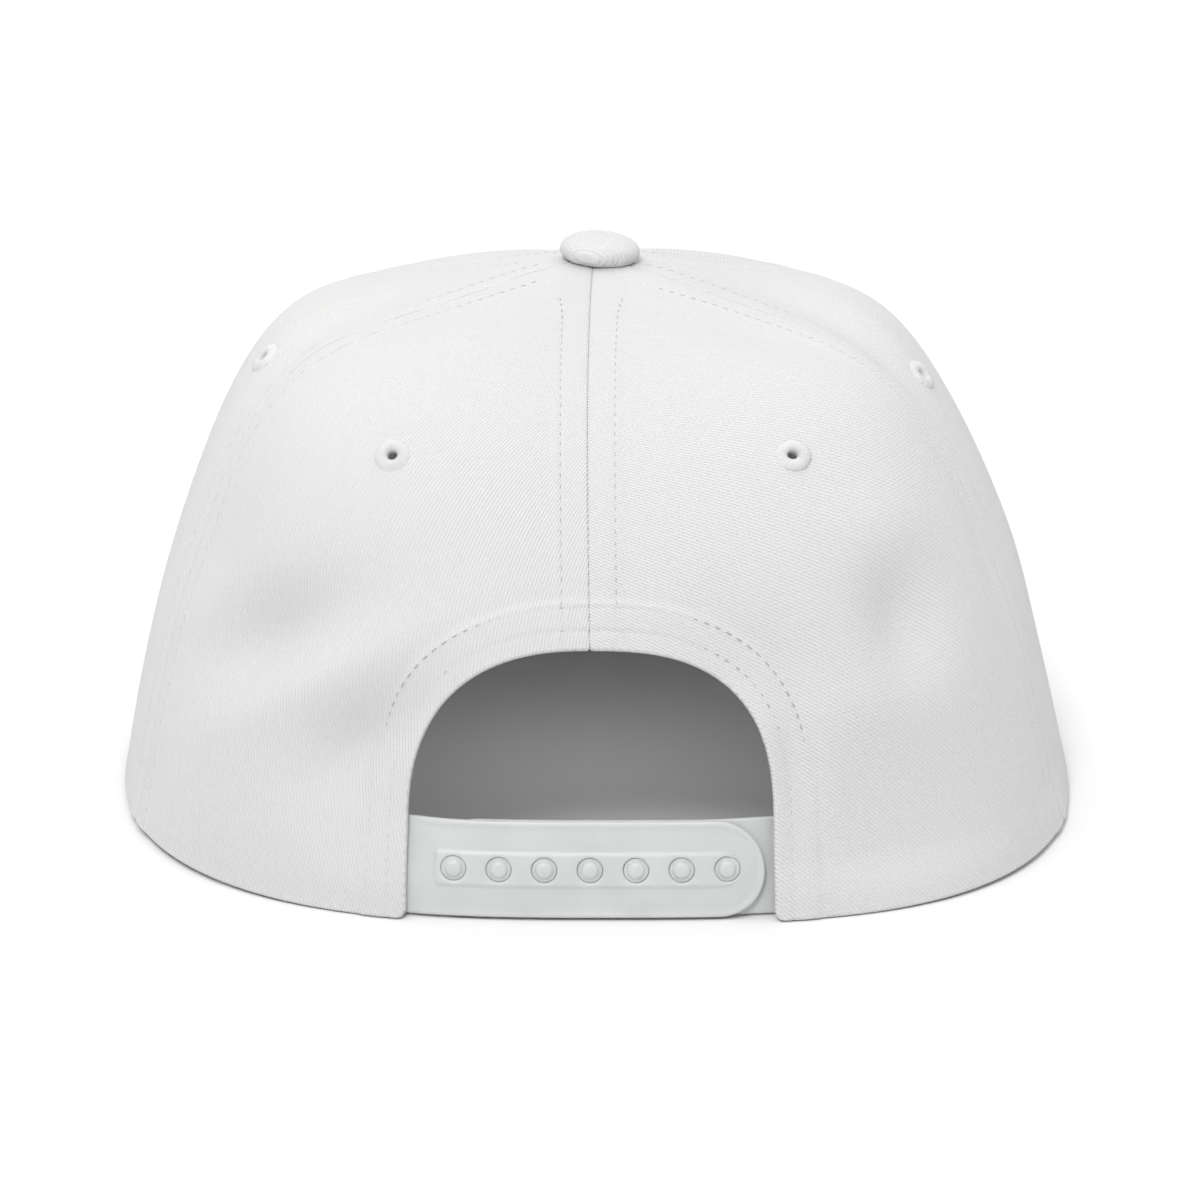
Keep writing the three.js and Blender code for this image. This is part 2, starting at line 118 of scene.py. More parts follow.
# How far apart a mesh's points lie, and how its edges are rounded.
CELL = 0.95
BACK_CELLS, OTHER_CELLS = 0.8, 1.15
ROW_STEP = 0.5
GRID_GAP, ROW_GAP, GRID_LEAST = 0.62, 0.22, 4000
SEAM_MARGIN = 0.015
EDGE_ROUND = 0.45
FOOT_CORNER = 1.3
CLOTH_ROLL = (36, 72, 108, 144)
BOARD_ROLL = (30, 60, 90, 120, 150)


def smoothstep(low, high, x):
    share = np.clip((np.asarray(x, float) - low) / (high - low), 0, 1)
    return share * share * (3 - 2 * share)


def cos_sin(degrees):
    return math.cos(degrees * DEGREE), math.sin(degrees * DEGREE)


def signed(turn):
    return (np.asarray(turn, float) + 180) % 360 - 180


# The crown as a table of points by turn and by distance up the cloth, which is read by blending.
TURN_STEP, RISE_STEP, RISE_MAX = 0.5, 0.5, 200.0
LINE_POINTS = 900


def form_table():
    angle = (1 - (1 - np.linspace(0, 1, LINE_POINTS)) ** 3) * 90 * DEGREE
    rises = np.arange(0, RISE_MAX + RISE_STEP, RISE_STEP)
    table = []
    for turn in np.arange(-180, 180, TURN_STEP):
        c, s = cos_sin(turn)
        end = BACK if abs(turn) < 90 else FRONT
        rear = PLAN_BACK_LEFT if turn > 0 else PLAN_BACK_RIGHT
        power = rear if end is BACK else PLAN_FRONT
        reach = ((abs(c) / end["reach"]) ** power + (abs(s) / SIDE["reach"]) ** power) ** (-1 / power)
        shoulder = SIDE["shoulder"] + (end["shoulder"] - SIDE["shoulder"]) * c * c
        lean = SIDE["lean"] + (end["lean"] - SIDE["lean"]) * c * c
        up = np.sin(angle)
        out = np.clip(np.cos(angle), 0, 1) ** (2 / shoulder) * (1 - lean * up)
        height = SHELL_HEIGHT * up + CONE_HEIGHT * (1 - out)
        x = reach * out * s + SLUMP * height / SHELL_HEIGHT * np.sqrt(out)
        points = np.stack([x, reach * out * c, height], 1)
        along = lengths_along(points)
        table.append(np.stack([np.interp(rises, along, points[:, k]) for k in range(3)], 1))
    return np.array(table)


def lengths_along(points):
    """The length of a line of points up to each of them."""
    return np.concatenate([[0], np.cumsum(np.linalg.norm(np.diff(points, axis=0), axis=1))])


FORM = form_table()
RISES = np.arange(0, RISE_MAX, RISE_STEP)


def smooth_point(turn, rise):
    t = (np.asarray(turn, float) + 180) % 360 / TURN_STEP
    r = np.clip(np.asarray(rise, float) / RISE_STEP, 0, FORM.shape[1] - 1.001)
    i, j = t.astype(int) % len(FORM), r.astype(int)
    a, b = (t - t.astype(int))[..., None], (r - j)[..., None]
    i2 = (i + 1) % len(FORM)
    low = FORM[i, j] * (1 - a) + FORM[i2, j] * a
    high = FORM[i, j + 1] * (1 - a) + FORM[i2, j + 1] * a
    return low * (1 - b) + high * b


def up_line(turn):
    """The smooth form's points at a turn, one for each of RISES."""
    return smooth_point(np.full(len(RISES), turn), RISES)


def unit(v):
    return v / np.maximum(np.linalg.norm(v, axis=-1, keepdims=True), 1e-12)


def outward(turn, rise):
    turn, rise = np.asarray(turn, float), np.asarray(rise, float)
    across = smooth_point(turn + 1, rise) - smooth_point(turn - 1, rise)
    up = smooth_point(turn, rise + 1) - smooth_point(turn, np.maximum(rise - 1, 0))
    return -unit(np.cross(across, up))


def seam_distance(turn, point):
    """Millimetres round the crown to the nearest seam, with its sign."""
    radius = np.hypot(point[..., 0], point[..., 1])
    away = np.stack([signed(turn - s) for s in SEAMS])
    nearest = np.abs(away).argmin(0)
    return np.take_along_axis(away, nearest[None], 0)[0] * DEGREE * radius


def arch_distance(point):
    """Millimetres outside the arch's edge, about, in the plane across the cap."""
    left = point[..., 0] > ARCH["middle"]
    width = np.where(left, ARCH_HALVES[1]["width"], ARCH_HALVES[-1]["width"])
    n = np.where(left, ARCH_HALVES[1]["power"], ARCH_HALVES[-1]["power"])
    x = np.abs(point[..., 0] - ARCH["middle"]) / width
    rise = ARCH["top"] - ARCH["sides"]
    z = np.maximum(point[..., 2] - ARCH["sides"], 0) / rise
    level = (x ** n + z ** n) ** (1 / n)
    gx = x ** (n - 1) / width
    gz = z ** (n - 1) / rise
    slope = np.hypot(gx, gz) * np.maximum(level, 1e-6) ** (1 - n)
    distance = (level - 1) / np.maximum(slope, 1e-6)
    return np.where(point[..., 1] > 0, distance, 99.0)


def relief(turn, rise, point):
    """How far seams, dents and hems move the cloth along its normal, in millimetres."""
    radius = np.hypot(point[..., 0], point[..., 1])
    away = seam_distance(turn, point)
    fade = smoothstep(SEAM_FADES_TO, SEAM_FADES_FROM, radius)
    moved = -SEAM_PULL * fade * np.exp(-((away / SEAM_REACH) ** 2))
    moved = moved + TOP_PUFF * np.exp(-((radius / TOP_PUFF_REACH) ** 2))
    for at, up, length, width, slant, depth in DENTS:
        u, v = signed(turn - at) * DEGREE * radius, rise - up
        c, s = cos_sin(slant)
        along, across = u * s + v * c, u * c - v * s
        moved = moved - depth * np.exp(-((along / length) ** 2) - (across / width) ** 2)
    return moved * smoothstep(0, RIM_HOLDS_TO, rise)


STITCH_OFFSET = 5.3
ARCH_INNER_ROW, ARCH_OUTER_ROW = 3.6, 7.7
ALLOWANCE, ARCH_HEM, RIM_HEM, RIM_HEM_REACH = 0.35, 0.5, 0.25, 1.6
VALLEY, VALLEY_REACH = 0.2, 0.45
GROOVE, GROOVE_REACH, GROOVE_HALF = 0.22, 0.3, 0.32


def fine_relief(turn, rise, point):
    """Seam allowances, stitch rows and hems, which are too fine for the solids."""
    away = np.abs(seam_distance(turn, point))
    near_top = smoothstep(8, 16, np.hypot(point[..., 0], point[..., 1]))
    within = 1 - smoothstep(STITCH_OFFSET + 0.4, STITCH_OFFSET + 1.8, away)
    allowance = ALLOWANCE * within * near_top
    valley = -VALLEY * np.exp(-((away / VALLEY_REACH) ** 2))
    row = -GROOVE * np.exp(-(((away - STITCH_OFFSET) / GROOVE_REACH) ** 2)) * near_top
    edge = arch_distance(point)
    hem = ARCH_HEM * (1 - smoothstep(ARCH_OUTER_ROW + 0.3, ARCH_OUTER_ROW + 1.8, edge))
    for offset in (ARCH_INNER_ROW, ARCH_OUTER_ROW):
        hem = hem - GROOVE * np.exp(-(((edge - offset) / GROOVE_REACH) ** 2))
    rim = RIM_HEM * np.exp(-((rise / RIM_HEM_REACH) ** 2))
    return allowance + valley + row + hem + rim


def cloth_point(turn, rise, depth=0.0, fine=True):
    point = smooth_point(turn, rise)
    normal = outward(turn, rise)
    moved = relief(turn, rise, point)
    if fine:
        moved = moved + fine_relief(turn, rise, point)
    return point + normal * (moved - depth)[..., None]


def rim_lift(turn):
    """The rim's height over the table at a turn."""
    away = np.abs(signed(turn))
    side = SIDE_LIFT * smoothstep(SIDE_LIFT_FROM, SIDE_LIFT_TO, away)
    return side + (FRONT_LIFT - side) * smoothstep(LIFT_START, BILL_CORNER, away)


def rise_at_height(turn, height):
    return float(np.interp(height, up_line(turn)[:, 2], RISES))


def rise_at_ring(turn):
    line = up_line(turn)
    return float(np.interp(-TOP_RING, -np.hypot(line[:, 0], line[:, 1]), RISES))


RING_TURNS = np.arange(-180, 181, 2.0)
RING_RISES = np.array([rise_at_ring(t) for t in RING_TURNS])


def ring_rise(turn):
    return np.interp(signed(turn), RING_TURNS, RING_RISES)


def on_cloth(x, z):
    """The turn and rise of the smooth form's back point over x at height z."""
    x, z = np.asarray(x, float), np.asarray(z, float)
    turn = np.degrees(np.arctan2(x, BACK_RADIUS))
    rise = z.copy()
    for _ in range(12):
        p = smooth_point(turn, rise)
        dx = (smooth_point(turn + 0.5, rise) - smooth_point(turn - 0.5, rise))[..., 0]
        dz = (smooth_point(turn, rise + 0.5) - smooth_point(turn, np.maximum(rise - 0.5, 0)))[..., 2]
        turn = turn - (p[..., 0] - x) / dx
        rise = np.clip(rise - (p[..., 2] - z) / np.maximum(dz, 0.2) * 0.9, 0, RISE_MAX)
    return turn, rise


def arch_path(sign, step, inset):
    """x and z along half of the arch, from its top down to the rim, that far outside its edge."""
    angle = np.linspace(0, 90, 140) * DEGREE
    across = np.sin(angle) ** (2 / ARCH_HALVES[sign]["power"])
    up = np.cos(angle) ** (2 / ARCH_HALVES[sign]["power"])
    half = ARCH_HALVES[sign]["width"] + inset
    x = half * across
    z = ARCH["sides"] + (ARCH["top"] + inset - ARCH["sides"]) * up
    bend = np.linspace(0, 90, 7) * DEGREE
    x = np.concatenate([x, half + FOOT_CORNER * (1 - np.cos(bend))])
    z = np.concatenate([z, EDGE_ROUND + FOOT_CORNER * (1 - np.sin(bend))])
    x = ARCH["middle"] + sign * x
    length = np.concatenate([[0], np.cumsum(np.hypot(np.diff(x), np.diff(z)))])
    at = np.linspace(0, length[-1], int(length[-1] / step))
    return np.interp(at, length, x), np.interp(at, length, z)


# Meshes

def new_object(name, data):
    piece = bpy.data.objects.new(name, data)
    bpy.context.scene.collection.objects.link(piece)
    return piece


def make_object(name, points, faces, material, uvs=None):
    """A mesh piece in metres from points in millimetres round the crown's axis."""
    mesh = bpy.data.meshes.new(name)
    mesh.from_pydata((np.asarray(points) * MM + AXIS).tolist(), [], faces)
    mesh.validate()
    mesh.polygons.foreach_set("use_smooth", np.ones(len(mesh.polygons), bool))
    for uv_name, values in (uvs or {}).items():
        layer = mesh.uv_layers.new(name=uv_name)
        loops = np.zeros(len(mesh.loops), int)
        mesh.loops.foreach_get("vertex_index", loops)
        layer.data.foreach_set("uv", np.asarray(values, np.float32)[loops].ravel())
    mesh.update()
    piece = new_object(name, mesh)
    mesh.materials.append(material)
    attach(piece, "root")
    return piece


def inside_polygon(points, polygon):
    x1, y1 = polygon[:, 0], polygon[:, 1]
    x2, y2 = np.roll(x1, -1), np.roll(y1, -1)
    slope = (x2 - x1) / np.where(y2 == y1, 1e-9, y2 - y1)
    inside = np.zeros(len(points), bool)
    for start in range(0, len(points), 2000):
        x, y = points[start:start + 2000, 0:1], points[start:start + 2000, 1:2]
        crosses = (y1 > y) != (y2 > y)
        inside[start:start + 2000] = (crosses & (x < x1 + (y - y1) * slope)).sum(1) % 2 == 1
    return inside


def anticlockwise(outline):
    x, y = outline[:, 0], outline[:, 1]
    turned = x * np.roll(y, -1) - y * np.roll(x, -1)
    return outline if turned.sum() > 0 else outline[::-1]


def distance_to(points, polygon):
    """How far each point is from the nearest of the polygon's points."""
    best = np.full(len(points), 1e9)
    for start in range(0, len(points), 2000):
        part = points[start:start + 2000]
        d = np.hypot(part[:, None, 0] - polygon[None, :, 0], part[:, None, 1] - polygon[None, :, 1])
        best[start:start + 2000] = d.min(1)
    return best


def fill_outline(outline, cell, holes=(), rows=()):
    """Triangles that fill a closed outline, with its points first: (points, triangles)."""
    low, high = outline.min(0), outline.max(0)
    levels = np.arange(low[1], high[1], cell * 0.87)
    grid = [
        (x, y)
        for k, y in enumerate(levels)
        for x in np.arange(low[0] + (k % 2) * cell / 2, high[0], cell)
    ]
    grid = np.array(grid)
    loops = [outline, *holes]
    points = np.concatenate(loops)
    for row in [*rows, grid]:
        keep = inside_polygon(row, outline)
        for hole in holes:
            keep &= ~inside_polygon(row, hole)
        row = row[keep]
        gap = cell * GRID_GAP if len(row) > GRID_LEAST else ROW_GAP
        points = np.concatenate([points, row[distance_to(row, points) > gap]])
    edges = []
    start = 0
    for loop in loops:
        n = len(loop)
        edges += [(start + i, start + (i + 1) % n) for i in range(n)]
        start += n
    made = delaunay_2d_cdt([Vector(p) for p in points], edges, [], 1, 1e-6)
    assert len(made[0]) == len(points), "the outline crosses itself"
    order = np.array([o[0] for o in made[3]])
    triangles = np.array([[order[i] for i in t] for t in made[2] if len(t) == 3])
    middle = points[triangles].mean(1)
    for hole in holes:
        inside = inside_polygon(middle, hole)
        triangles = triangles[~inside]
        middle = middle[~inside]
    a, b, c = (points[triangles[:, k]] for k in range(3))
    area = (b[:, 0] - a[:, 0]) * (c[:, 1] - a[:, 1]) - (b[:, 1] - a[:, 1]) * (c[:, 0] - a[:, 0])
    triangles[area < 0] = triangles[area < 0][:, ::-1]
    return points, triangles


def tube_faces(rings, sides, first=0):
    """Faces between rings of points that are numbered from first, one ring after the other."""
    faces = []
    for i in range(rings - 1):
        a, b = first + i * sides, first + (i + 1) * sides
        for j in range(sides):
            k = (j + 1) % sides
            faces.append((a + j, a + k, b + k, b + j))
    return faces


def edge_runs(outline, holes):
    """Where each edge starts in a filled outline's points, and how many points it has."""
    runs = [(0, len(outline))]
    for hole in holes:
        runs.append((sum(runs[-1]), len(hole)))
    return runs


def two_faced(face, back, triangles, loops, middle_rows):
    """A closed shell: a face and a back of the same triangles, joined by rounded edge strips.

    loops are (start, count) runs of edge points, and middle_rows gives the strip's rows for one.
    """
    n = len(face)
    points = [face, back]
    faces = [tuple(int(i) for i in t) for t in triangles]
    faces += [tuple(int(i) + n for i in t[::-1]) for t in triangles]
    total = 2 * n
    for start, count in loops:
        rings = [np.arange(start, start + count)]
        for row in middle_rows(start, count):
            points.append(row)
            rings.append(np.arange(total, total + count))
            total += count
        rings.append(np.arange(start, start + count) + n)
        for upper, lower in zip(rings, rings[1:]):
            for i in range(count):
                j = (i + 1) % count
                faces.append((int(upper[j]), int(upper[i]), int(lower[i]), int(lower[j])))
    return np.concatenate(points), faces


# The panels

class Flat:
    """A panel's flat coordinates: millimetres to the right of its middle, and up the cloth."""

    def __init__(self, middle):
        self.middle = middle
        line = up_line(middle)
        self.radius = np.maximum(np.hypot(line[:, 0], line[:, 1]), 1.0)
        self.ring = ring_rise(middle)

    def lay(self, turn, rise):
        v = rise * self.ring / ring_rise(turn)
        radius = np.interp(v, RISES, self.radius)
        return np.stack([(self.middle - np.asarray(turn)) * DEGREE * radius, v], -1)

    def lift(self, flat):
        radius = np.interp(flat[..., 1], RISES, self.radius)
        turn = self.middle - flat[..., 0] / (DEGREE * radius)
        return turn, flat[..., 1] * ring_rise(turn) / self.ring


def side_line(turn, towards, low, high, step, inset):
    """Turn and rise up one side of a panel, inset from the seam at that turn."""
    rise = np.linspace(low, high, max(int((high - low) / step), 2) + 1)
    point = smooth_point(np.full(len(rise), turn), rise)
    radius = np.hypot(point[:, 0], point[:, 1])
    return turn + towards * inset / radius / DEGREE, rise


def rim_line(start, end, step, inset):
    count = int(abs(start - end) * DEGREE * 98 / step)
    turn = np.linspace(start, end, count + 1)
    lift = rim_lift(turn)
    rise = np.array([rise_at_height(t, z) if z > 0 else 0.0 for t, z in zip(turn, lift)])
    return turn, rise + inset


def arch_line(sign, step, inset):
    """Turn and rise along half of the arch, from its top down, that far outside its edge."""
    x, z = arch_path(sign, step, inset)
    turn, rise = on_cloth(x, z)
    return turn, np.maximum(rise, EDGE_ROUND)


FIRST_TURN = 0.15


def arch_part(name, step, inset):
    """The arch's line within one back panel, from the centre seam down: turn and rise."""
    left = arch_line(1, step, inset)
    right = arch_line(-1, step, inset)
    turn = np.concatenate([right[0][::-1], left[0][1:]])
    rise = np.concatenate([right[1][::-1], left[1][1:]])
    seam_rise = float(np.interp(0.0, turn, rise))
    margin = SEAM_MARGIN / BACK_RADIUS / DEGREE
    if name == "back_panel_left":
        keep = turn > margin + FIRST_TURN
        return np.append(margin, turn[keep]), np.append(seam_rise, rise[keep])
    keep = turn < -margin - FIRST_TURN
    return 360 + np.append(-margin, turn[keep][::-1]), np.append(seam_rise, rise[keep][::-1])


RING_POINTS = 9


def panel_outline(name, start, end, cell):
    """A panel's edge as seen from outside, anticlockwise: turn, rise and whether it rolls over."""
    if name == "back_panel_left":
        arch = arch_part(name, cell, EDGE_ROUND)
        rim = rim_line(end, arch[0][-1], cell, EDGE_ROUND)
        bottom = [np.concatenate([r[:-1], a[::-1]]) for r, a in zip(rim, arch)]
    elif name == "back_panel_right":
        arch = arch_part(name, cell, EDGE_ROUND)
        rim = rim_line(arch[0][-1], start, cell, EDGE_ROUND)
        bottom = [np.concatenate([a, r[1:]]) for r, a in zip(rim, arch)]
    else:
        bottom = list(rim_line(end, start, cell, EDGE_ROUND))
    low_end, low_start = bottom[1][0], bottom[1][-1]
    ring_start, ring_end = rise_at_ring(start), rise_at_ring(end)
    up = side_line(start, 1, low_start, ring_start, cell, SEAM_MARGIN)
    down = side_line(end, -1, low_end, ring_end, cell, SEAM_MARGIN)
    bottom[0][0], bottom[0][-1] = down[0][0], up[0][0]
    top_turns = np.linspace(up[0][-1], down[0][-1], RING_POINTS)
    top_rises = np.array([rise_at_ring(t) for t in top_turns])
    turn = np.concatenate([bottom[0], up[0][1:], top_turns[1:-1], down[0][::-1][:-1]])
    rise = np.concatenate([bottom[1], up[1][1:], top_rises[1:-1], down[1][::-1][:-1]])
    rolls = np.zeros(len(turn))
    rolls[1:len(bottom[0]) - 1] = 1
    return turn, rise, rolls


NEAR_EDGE = (0.3, 0.7, 1.2)
ROW_END = 1.5


def panel_rows(name, start, end, cell):
    """Lines of points that follow the seams, stitch rows and hem, so that those come out sharp."""
    rows = []
    groove = (STITCH_OFFSET - GROOVE_HALF, STITCH_OFFSET, STITCH_OFFSET + GROOVE_HALF)
    sides = ((start, 1, rise_at_ring(start)), (end, -1, rise_at_ring(end)))
    for inset in (*NEAR_EDGE, *groove):
        step = ROW_STEP if inset in groove else cell
        for turn, towards, top in sides:
            high = top - ROW_END - inset * 1.2
            rows.append(side_line(turn, towards, ROW_END, high, step, inset + SEAM_MARGIN))
    if name.startswith("back"):
        for inset in NEAR_EDGE:
            rows.append(arch_part(name, cell, EDGE_ROUND + inset))
        for inset in (ARCH_INNER_ROW, ARCH_OUTER_ROW):
            for more in (-GROOVE_HALF, 0, GROOVE_HALF):
                rows.append(arch_part(name, ROW_STEP, EDGE_ROUND + inset + more))
    for inset in NEAR_EDGE:
        rows.append(rim_line(start, end, cell, EDGE_ROUND + inset))
    return rows


def edge_directions(flat, rolls):
    """For each edge point its outward direction in the flat, no longer than rolls says."""
    ahead = np.roll(flat, -1, 0) - np.roll(flat, 1, 0)
    side = np.stack([ahead[:, 1], -ahead[:, 0]], 1)
    return unit(side) * rolls[:, None]


def circle(middle, radius, count):
    """Points clockwise round a middle."""
    angle = -np.linspace(0, 2 * math.pi, count, endpoint=False)
    return middle + radius * np.stack([np.cos(angle), np.sin(angle)], 1)


EYELETS = (
    # node, turn, height, tilt that lifts its lower right side
    ("eyelet_back_left", 31.0, 84.3, -0.12),
    ("eyelet_back_right", -32.0, 84.6, 0.42),
    ("eyelet_side_left", 79.0, 90.0, 0.0),
    ("eyelet_side_right", -77.0, 87.5, 0.3),
    ("eyelet_front_left", 150.0, 86.0, 0.0),
    ("eyelet_front_right", -150.0, 86.0, 0.1),
)
EYELET_PLACES = {n: (t, rise_at_height(t, z)) for n, t, z, tilt in EYELETS}
EYELET_HOLE, EYELET_HOLE_SIDES = 1.9, 22


def panel_grain(points, loops, slant, bend, true_at):
    """A shell's twill coordinates in millimetres: across the ridges, and along them."""
    c, s = cos_sin(slant)
    along = points[:, 1] * c - points[:, 0] * s - true_at
    grain = np.stack([points[:, 0] * c + points[:, 1] * s + bend * along ** 2 / 2, along], 1)
    edges = [np.tile(grain[first:first + count], (len(CLOTH_ROLL), 1)) for first, count in loops]
    return np.concatenate([grain, grain, *edges])


def make_panel(name, start, end, slant, bend, true_at, material):
    cell = CELL * (BACK_CELLS if name.startswith("back") else OTHER_CELLS)
    flat = Flat((start + end) / 2)
    turn, rise, rolls = panel_outline(name, start, end, cell)
    outline = flat.lay(turn, rise)
    holes = []
    for place_turn, place_rise in EYELET_PLACES.values():
        if start < place_turn % 360 < end:
            middle = flat.lay(place_turn % 360, np.array(place_rise))
            holes.append(circle(middle, EYELET_HOLE, EYELET_HOLE_SIDES))
    rows = [flat.lay(*line) for line in panel_rows(name, start, end, cell)]
    points, triangles = fill_outline(outline, cell, holes, rows)
    turns, rises = flat.lift(points)
    face = cloth_point(turns, rises)
    back = cloth_point(turns, rises, CLOTH, fine=False)
    directions = edge_directions(outline, rolls)

    def middle_rows(first, count):
        out = directions if first == 0 else np.zeros((count, 2))
        for angle in CLOTH_ROLL:
            moved = points[first:first + count] + out * EDGE_ROUND * math.sin(angle * DEGREE)
            depth = CLOTH * (1 - math.cos(angle * DEGREE)) / 2
            share = depth / CLOTH
            at = flat.lift(moved)
            outer = cloth_point(*at, 0.0)
            inner = cloth_point(*at, CLOTH, fine=False)
            yield outer * (1 - share) + inner * share

    loops = edge_runs(outline, holes)
    all_points, faces = two_faced(face, back, triangles, loops, middle_rows)
    all_points[:, 2] = np.maximum(all_points[:, 2], LOWEST_CLOTH)
    uvs = {"grain": panel_grain(points, loops, slant, bend, true_at)}
    piece = make_object(name + "_cloth", all_points, faces, material, uvs)
    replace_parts(piece, name)


# Thread

STITCH = {"first": 0.3, "half_width": 0.17, "proud": 0.09, "end_sink": 0.14, "rings": 6, "sides": 6}
CROWN_STITCH, BILL_STITCH = {"pitch": 2.4, "length": 1.7}, {"pitch": 2.8, "length": 2.2}


def stitch_row(points, normals, pitch, length):
    """Sunk stitches along a line of points: (vertices, faces)."""
    along = lengths_along(points)
    rings, sides, width = STITCH["rings"], STITCH["sides"], STITCH["half_width"]
    all_points, faces = [], []
    for k in range(int((along[-1] - length) / pitch)):
        at = STITCH["first"] + k * pitch + np.linspace(0, length, rings + 1)
        middle = np.stack([np.interp(at, along, points[:, i]) for i in range(3)], 1)
        normal = unit(np.stack([np.interp(at, along, normals[:, i]) for i in range(3)], 1))
        ahead = unit(np.gradient(middle, axis=0))
        across = unit(np.cross(ahead, normal))
        t = np.linspace(-1, 1, rings + 1)
        size = width * np.sqrt(np.maximum(1 - np.abs(t) ** 3, 0.02))
        sink = STITCH["proud"] - width - STITCH["end_sink"] * np.abs(t) ** 3
        first = len(all_points)
        for i in range(rings + 1):
            for j in range(sides):
                angle = 2 * math.pi * j / sides
                spot = middle[i] + across[i] * size[i] * math.cos(angle)
                all_points.append(spot + normal[i] * (sink[i] + size[i] * math.sin(angle)))
        faces += tube_faces(rings + 1, sides, first)
        faces.append(tuple(first + j for j in reversed(range(sides))))
        faces.append(tuple(first + rings * sides + j for j in range(sides)))
    return all_points, faces


def join_rows(name, rows, material):
    points, faces = [], []
    for more_points, more_faces in rows:
        faces += [tuple(i + len(points) for i in face) for face in more_faces]
        points += list(more_points)
    make_object(name, np.array(points), faces, material)


LINE_STEP = 0.6


def crown_stitches(material):
    rows = []
    for seam in SEAMS:
        for side in (-1, 1):
            low = rise_at_height(seam, float(rim_lift(np.array(seam)))) + 1.2
            if seam == 0:
                low = rise_at_height(0.0, ARCH["top"] + ARCH_OUTER_ROW) - 0.4
            high = rise_at_ring(seam) - 8
            turn, rise = side_line(seam, side, low, high, LINE_STEP, STITCH_OFFSET)
            rows.append(stitch_row(cloth_point(turn, rise), outward(turn, rise), **CROWN_STITCH))
    for inset in (ARCH_INNER_ROW, ARCH_OUTER_ROW):
        for sign in (-1, 1):
            turn, rise = arch_line(sign, LINE_STEP, inset)
            keep = rise > 1.2
            line = cloth_point(turn[keep], rise[keep])
            rows.append(stitch_row(line, outward(turn[keep], rise[keep]), **CROWN_STITCH))
    join_rows("crown_stitches", rows, material)


EYELET_PROFILE = (
    # distance from its middle, height over the cloth
    (1.05, -1.9), (0.95, -0.6), (0.98, 0.0), (1.15, 0.35), (1.5, 0.62), (2.0, 0.74),
    (2.5, 0.68), (3.0, 0.44), (3.35, 0.16), (3.65, -0.14), (3.2, -0.4), (1.6, -0.5), (1.6, -1.9),
)
EYELET_THREADS, EYELET_SIDES, EYELET_WOBBLE = 30, 120, 0.12


def make_eyelet(name, tilt, material):
    """An embroidered ring that lies on the cloth and runs through it to the inside."""
    turn, rise = EYELET_PLACES[name]
    flat = Flat(turn)
    middle = flat.lay(turn, np.array(rise))
    normal = outward(np.array(turn), np.array(rise))
    threads, sides = EYELET_THREADS, EYELET_SIDES
    draws = np.random.default_rng(int(rise * 100))
    wobble = draws.uniform(-EYELET_WOBBLE, EYELET_WOBBLE, threads)
    angle = np.linspace(0, 2 * math.pi, sides, endpoint=False)
    thread = (angle / (2 * math.pi) * threads).astype(int) % threads
    ridge = np.abs(np.cos(angle * threads / 2))
    points = []
    for radius, height in EYELET_PROFILE:
        outer = smoothstep(1.2, 3.4, radius)
        r = radius + wobble[thread] * outer * (height < 0.6)
        aside = r * (np.cos(angle) - np.sin(angle)) / math.sqrt(2)
        h = height + (0.15 * ridge - 0.07) * (height > -0.2) + tilt * aside / 3 * (height > -0.1)
        spots = middle + np.stack([r * np.cos(angle), r * np.sin(angle)], 1)
        base = cloth_point(*flat.lift(spots), fine=False)
        points.append(base + normal * h[:, None])
    count = len(EYELET_PROFILE) * sides
    tube = tube_faces(len(EYELET_PROFILE) + 1, sides)
    faces = [(d % count, c % count, b, a) for a, b, c, d in tube]
    piece = make_object(name + "_thread", np.concatenate(points), faces, material)
    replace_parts(piece, name)


# The button

BUTTON_TILT, BUTTON_SHIFT, BUTTON_RAISE = 4.0, -0.7, 0.4
BUTTON_RINGS, BUTTON_SIDES, BUTTON_GRAIN = 64, 120, 20
BUTTON_UNEVEN = 0.012
BUTTON_PROFILE = (
    # distance from its axis, height over the crown's top
    (0.0, -3.6), (2.6, -3.6), (3.0, -3.2), (3.1, -1.0), (6.2, -0.5), (7.1, -0.25), (7.7, 0.2),
    (8.05, 0.8), (8.2, 1.5), (8.05, 2.3), (7.6, 3.0), (6.8, 3.6), (5.7, 4.15), (4.4, 4.57),
    (3.0, 4.82), (1.6, 4.96), (0.0, 5.0),
)


def button_points(sides):
    """The button's rings of points round its own axis, with small folds at its edge."""
    profile = np.array(BUTTON_PROFILE)
    length = np.concatenate([[0], np.cumsum(np.hypot(*np.diff(profile, axis=0).T))])
    at = np.linspace(0, length[-1], BUTTON_RINGS)
    radius, height = np.interp(at, length, profile[:, 0]), np.interp(at, length, profile[:, 1])
    angle = np.linspace(0, 2 * math.pi, sides, endpoint=False)
    draws = np.random.default_rng(5)
    points = []
    for r, h in zip(radius, height):
        folds = 0.07 * np.sin(angle * 9 + 0.6) + 0.05 * np.sin(angle * 17 + 2)
        edge = math.exp(-(((h - 0.4) / 1.3) ** 2)) * float(r > 5)
        ring = r + folds * edge
        points.append(np.stack([ring * np.cos(angle), ring * np.sin(angle), np.full(sides, h)], 1))
    points = np.concatenate(points)
    points[:, 2] += draws.normal(0, BUTTON_UNEVEN, len(points))
    return points


